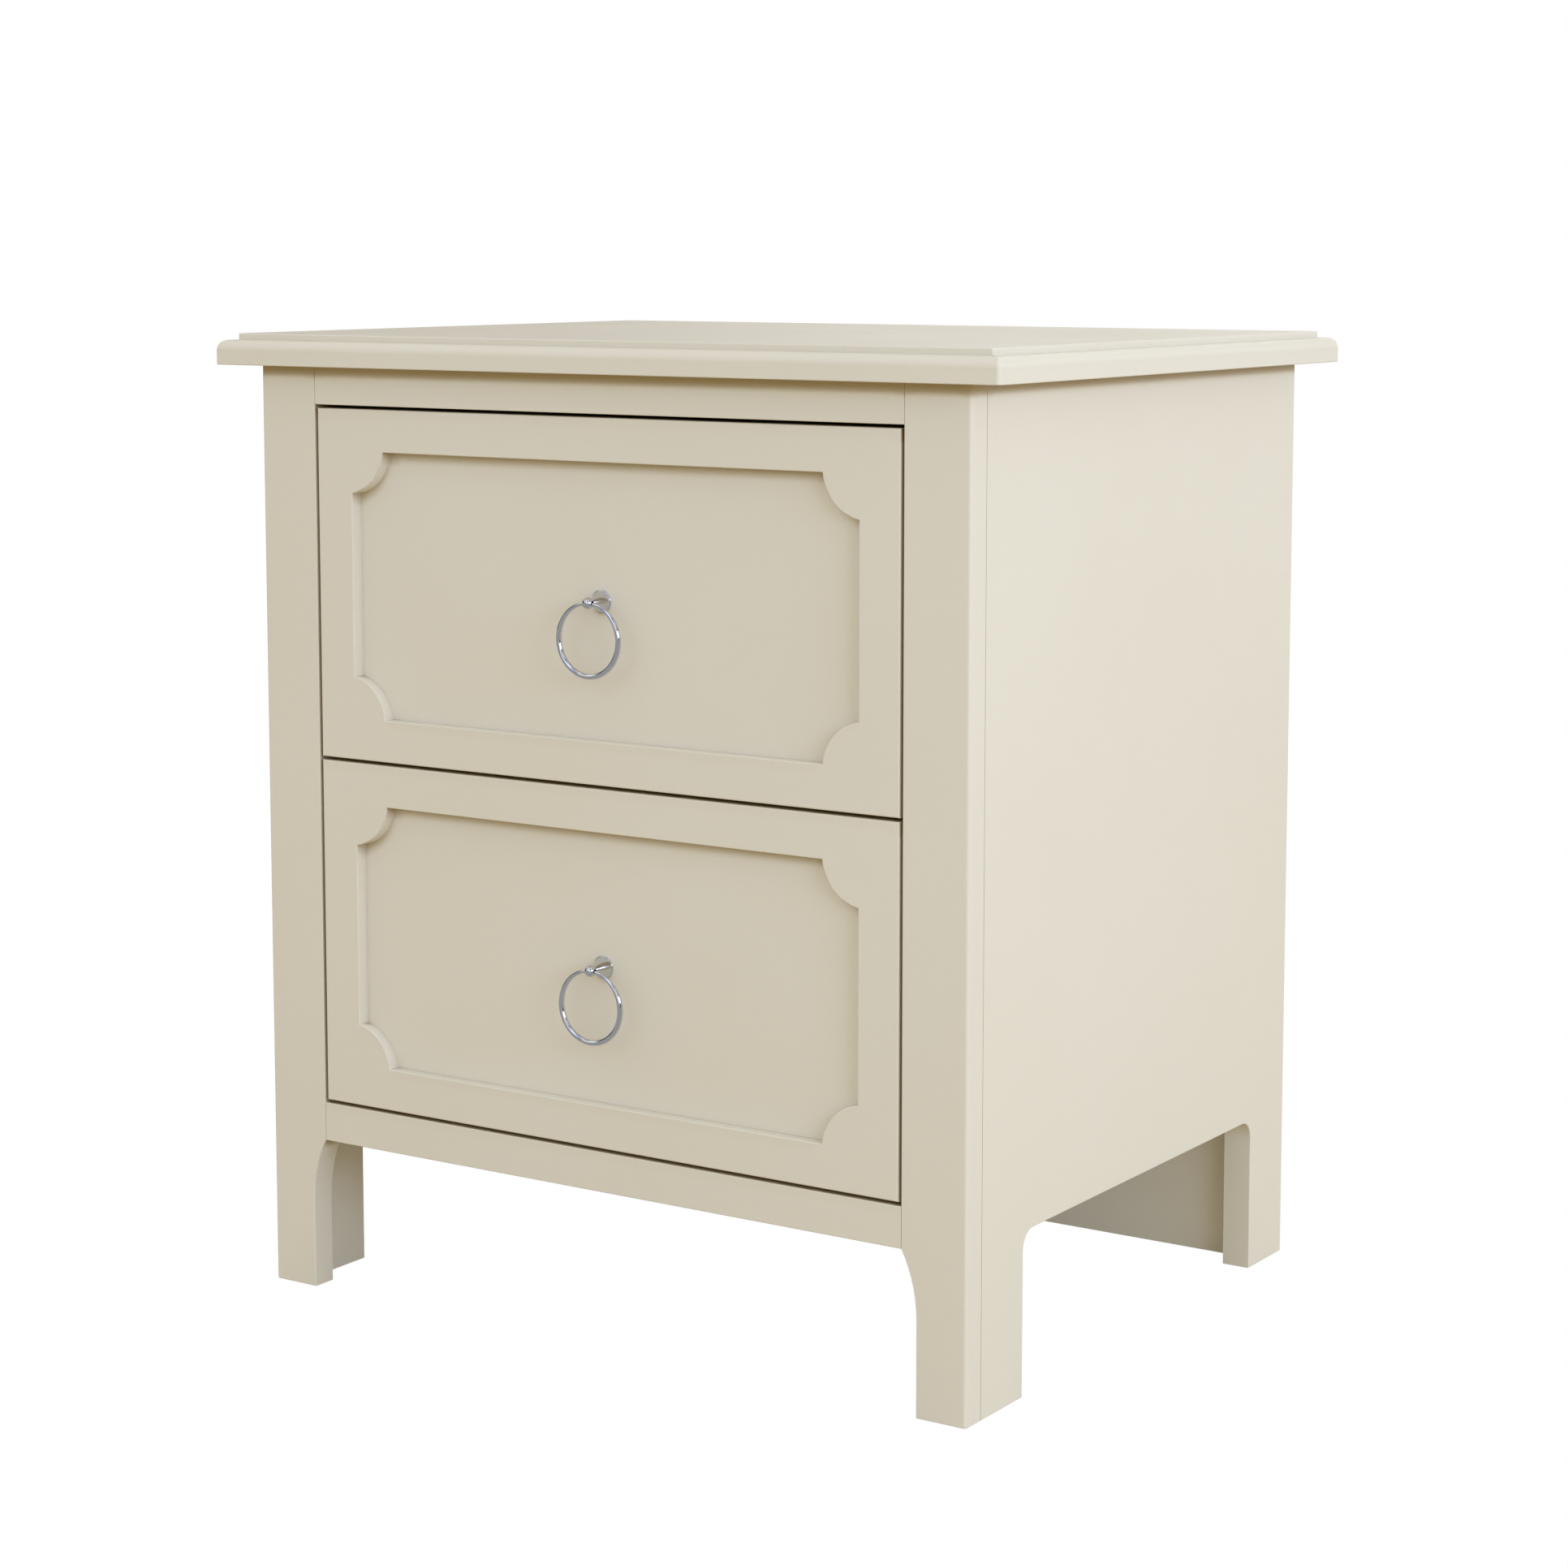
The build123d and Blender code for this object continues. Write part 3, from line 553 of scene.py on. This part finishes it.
# Each light: direction from the cabinet, distance, width and height in metres, and its power in
# red, green and blue
LIGHTS = {
    "right": ((1.0, -0.35, 0.30), 3.0, 2.2, 0.8, (23.8, 28.2, 39.5)),
    "front": ((-0.08, -1.0, 0.52), 3.0, 1.4, 1.4, (1.8, 3.0, 7.8)),
    "overhead": ((0.0, 0.0, 1.0), 2.6, 2.2, 2.2, (3.0, 2.0, 2.6)),
    "behind": ((0.2, 1.0, 0.2), 3.0, 2.2, 1.6, (6.0, 7.0, 10.0)),
}
SHADE = (0.82, 0.81, 0.71, 1.0)
FLOOR_BOUNCE = (0.65, 0.55, 0.36, 1.0)
FLOOR_MIRRORED = (0.42, 0.42, 0.42, 1.0)
FLOOR_HALF = 30.0
LIGHTS_AIM = (0, 0, 0.3)

# The studio that gloss mirrors: dim and bright panels, with a dark wall at either side
DIM_PANEL = (0.22, 0.22, 0.225, 1)
BRIGHT_PANEL = (1.15, 1.15, 1.15, 1)
DARK_SIDE = (0.02, 0.02, 0.02, 1)
PANEL_SCALE = 2.6
PANEL_EDGE = (0.42, 0.58)
DARK_SIDE_EDGE = (0.74, 0.88)

CAMERA_PLACE = (1.1611, -1.7603, 0.6467)
CAMERA_DOWN = 6.471
CAMERA_TURN = 33.41
CAMERA_LENS = 78.316
CAMERA_SENSOR = 36.0
CAMERA_SHIFT = -0.10


def add_camera():
    data = bpy.data.cameras.new("camera")
    data.lens = CAMERA_LENS
    data.sensor_width = CAMERA_SENSOR
    data.shift_y = CAMERA_SHIFT
    camera = bpy.data.objects.new("camera", data)
    camera.location = CAMERA_PLACE
    camera.rotation_euler = (math.radians(90 - CAMERA_DOWN), 0, math.radians(CAMERA_TURN))
    bpy.context.scene.collection.objects.link(camera)
    bpy.context.scene.camera = camera


def add_light(name, towards, distance, width, height, power):
    """A broad soft light that faces the middle of the cabinet."""
    data = bpy.data.lights.new(name, "AREA")
    data.shape = "RECTANGLE"
    data.size = width
    data.size_y = height
    data.energy = max(power)
    data.color = [channel / max(power) for channel in power]
    lamp = bpy.data.objects.new(name, data)
    direction = Vector(towards).normalized()
    lamp.location = Vector(LIGHTS_AIM) + direction * distance
    lamp.rotation_euler = direction.to_track_quat("Z", "Y").to_euler()
    bpy.context.scene.collection.objects.link(lamp)


def choose(tree, ray, otherwise, wanted):
    """One shader for the rays of one kind, and another for the rest."""
    kinds = tree.nodes.new("ShaderNodeLightPath")
    mix = tree.nodes.new("ShaderNodeMixShader")
    tree.links.new(kinds.outputs[ray], mix.inputs[0])
    tree.links.new(otherwise, mix.inputs[1])
    tree.links.new(wanted, mix.inputs[2])
    return mix.outputs[0]


def add_dome():
    """Soft light from all round, a white backdrop, and a studio with dark sides for gloss to mirror."""
    world = bpy.data.worlds.new("studio")
    world.use_nodes = True
    bpy.context.scene.world = world
    tree = world.node_tree
    dome = tree.nodes["Background"]
    dome.inputs["Color"].default_value = SHADE
    paper = tree.nodes.new("ShaderNodeBackground")
    paper.inputs["Color"].default_value = (1, 1, 1, 1)
    mirrored = tree.nodes.new("ShaderNodeBackground")
    axes = tree.nodes.new("ShaderNodeSeparateXYZ")
    direction = tree.nodes.new("ShaderNodeTexCoord").outputs["Generated"]
    tree.links.new(direction, axes.inputs[0])
    sides = spread(tree, maths(tree, "ABSOLUTE", axes.outputs["X"]), DARK_SIDE_EDGE, (0.0, 1.0))
    panels = spread(tree, noise(tree, direction, PANEL_SCALE, 0.0), PANEL_EDGE, (0.0, 1.0))
    walls = blend(tree, panels, DIM_PANEL, BRIGHT_PANEL)
    tree.links.new(blend(tree, sides, walls, DARK_SIDE), mirrored.inputs["Color"])
    lit = choose(tree, "Is Glossy Ray", dome.outputs[0], mirrored.outputs[0])
    seen = choose(tree, "Is Camera Ray", lit, paper.outputs[0])
    tree.links.new(seen, tree.nodes["World Output"].inputs["Surface"])
    bpy.context.scene.view_settings.view_transform = "Standard"


def add_floor():
    """A wide pale floor that meets the backdrop without a line."""
    mesh = bpy.data.meshes.new("floor")
    bm = bmesh.new()
    bmesh.ops.create_grid(bm, x_segments=1, y_segments=1, size=FLOOR_HALF)
    bm.to_mesh(mesh)
    bm.free()
    plane = bpy.data.objects.new("floor", mesh)
    bpy.context.scene.collection.objects.link(plane)
    material = bpy.data.materials.new("pale_floor")
    material.use_nodes = True
    tree = material.node_tree
    tree.nodes.remove(tree.nodes["Principled BSDF"])
    paper = tree.nodes.new("ShaderNodeEmission")
    mirrored = tree.nodes.new("ShaderNodeEmission")
    mirrored.inputs["Color"].default_value = FLOOR_MIRRORED
    bounce = tree.nodes.new("ShaderNodeBsdfDiffuse")
    bounce.inputs["Color"].default_value = FLOOR_BOUNCE
    lit = choose(tree, "Is Glossy Ray", bounce.outputs[0], mirrored.outputs[0])
    seen = choose(tree, "Is Camera Ray", lit, paper.outputs[0])
    tree.links.new(seen, tree.nodes["Material Output"].inputs["Surface"])
    mesh.materials.append(material)


add_camera()
for name, light in LIGHTS.items():
    add_light(name, *light)
add_dome()
add_floor()
